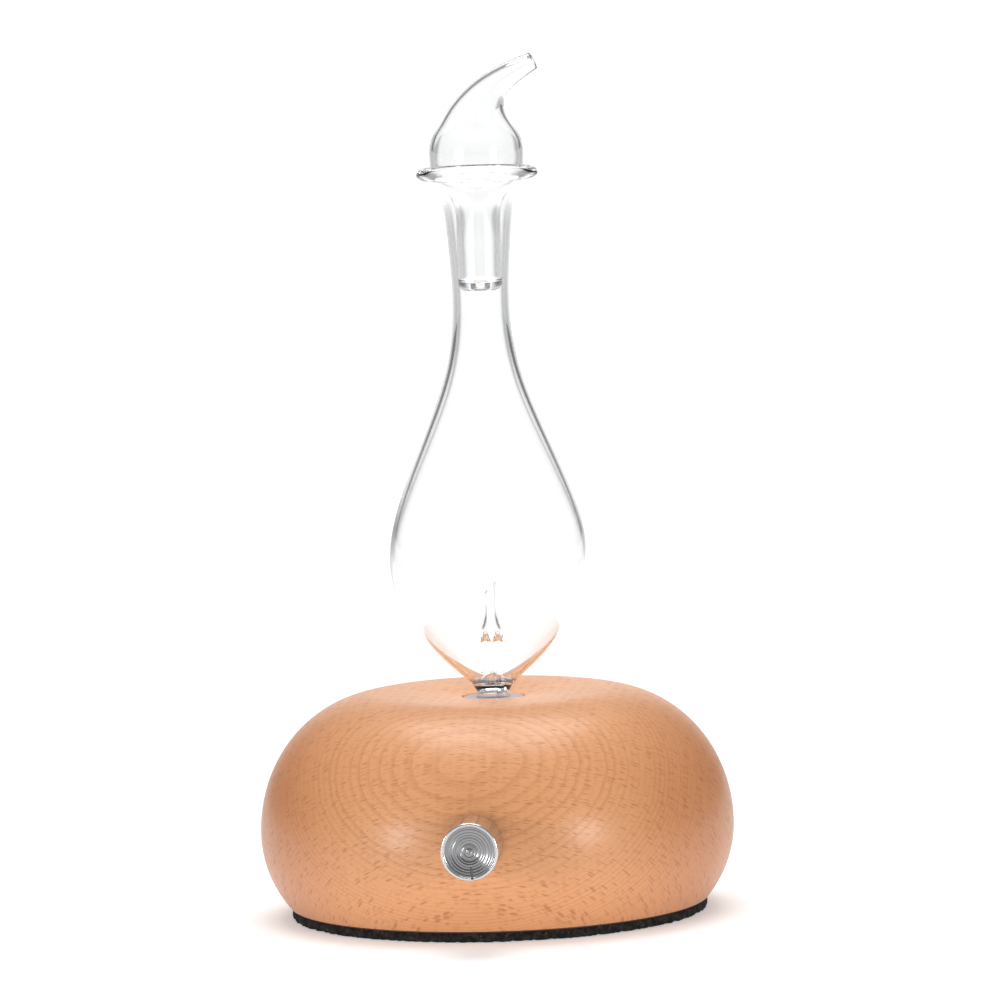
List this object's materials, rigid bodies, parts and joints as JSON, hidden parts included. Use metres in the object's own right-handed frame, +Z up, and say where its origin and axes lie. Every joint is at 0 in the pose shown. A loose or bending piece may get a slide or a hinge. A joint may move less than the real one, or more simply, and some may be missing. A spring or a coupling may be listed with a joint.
{
  "type": "essential oil diffuser",
  "caption": "Waterless scent diffuser: turned wooden base with an air pump and a knob, a drop-shaped glass bottle with a jet, and a bent glass spout cap.",
  "frame": {"origin": "centre of the underside of the foam foot, on the turning axis of base and bottle", "axes": "+Z up along the bottle, -Y front with the knob, +Y back with the power inlet, +X the way the spout points"},
  "size_m": [0.13, 0.1474, 0.2355],
  "materials": {
    "foam": "closed-cell foam rubber, matt",
    "tape": "double-sided tape",
    "black_plastic": "moulded, fine grain",
    "beech": "turned and sanded, satin oil",
    "light_guide": "frosted acrylic",
    "circuit_board": "glass-fibre board, solder mask",
    "lamp": "surface-mount lamp",
    "nylon": "natural nylon",
    "silicone": "translucent silicone",
    "rubber": "moulded rubber",
    "steel": "zinc-plated",
    "core_iron": "stamped sheet stack",
    "magnet": "nickel-plated magnet",
    "copper": "enamelled copper wire",
    "brass": "nickel-free brass",
    "phenolic": "phenolic sheet",
    "arm_plastic": "moulded lever",
    "shaft": "turned",
    "knob_metal": "spun face, satin side, polished rim",
    "component": "moulded component",
    "capacitor": "sleeved can",
    "wire": "PVC insulation",
    "glass": "clear blown borosilicate, fire-polished"
  },
  "bodies": {
    "base": {"foot_pad": "foam", "pad_tape": "tape", "base_plate": "black_plastic", "plate_screws": "steel", "wood_base": "beech", "light_ring": "light_guide", "lamp_board": "circuit_board", "lamps": "lamp", "lamp_spacers": "nylon", "air_socket": "black_plastic", "socket_screws": "steel", "stem_seal": "silicone", "control_plate": "steel", "control_can": "steel", "control_wafer": "phenolic", "control_terminals": "steel", "control_washer": "steel", "control_nut": "steel", "jack_body": "black_plastic", "jack_pin": "brass", "jack_terminals": "steel", "jack_nut": "steel", "main_board": "circuit_board", "board_posts": "nylon", "board_screws": "steel", "capacitors": "capacitor", "driver_chip": "component", "power_coil": "component", "wire_plugs": "nylon", "pump_pads": "foam", "pump_case": "black_plastic", "pump_lid": "black_plastic", "lid_screws": "steel", "pump_core": "core_iron", "coil_bobbin": "nylon", "coil_winding": "copper", "pivot_pin": "steel", "diaphragm": "rubber", "valve_plate": "black_plastic", "valve_block": "black_plastic", "valve_flaps": "rubber", "air_hose": "silicone", "control_wires": "wire", "jack_wires": "wire", "lamp_wires": "wire", "pump_wires": "wire"},
    "knob": {"knob_shell": "knob_metal", "knob_insert": "black_plastic", "control_shaft": "shaft", "control_wiper": "arm_plastic"},
    "pump_arm": {"swing_arm": "arm_plastic", "arm_magnet": "magnet", "diaphragm_stud": "steel"},
    "bottle": {"glass_bottle": "glass", "jet_tubes": "glass", "jet_nozzle": "glass"},
    "cap": {"glass_cap": "glass"}
  },
  "joints": [
    {"name": "knob_turn", "type": "hinge", "parent": "base", "child": "knob", "pos_m": [0, -0.074, 0.0283], "axis": [0, 1, 0], "range_deg": [0, 300]},
    {"name": "bottle_lift", "type": "slide", "parent": "base", "child": "bottle", "axis": [0, 0, 1], "range_m": [0, 0.03]},
    {"name": "cap_lift", "type": "slide", "parent": "bottle", "child": "cap", "axis": [0, 0, 1], "range_m": [0, 0.055]},
    {"name": "pump_arm_swing", "type": "hinge", "parent": "base", "child": "pump_arm", "pos_m": [0.0215, 0.018, 0.0186], "axis": [0, 0, 1], "range_deg": [-2.5, 2.5], "stiffness_Nm_per_rad": 0.16, "deforming": ["diaphragm"]}
  ]
}
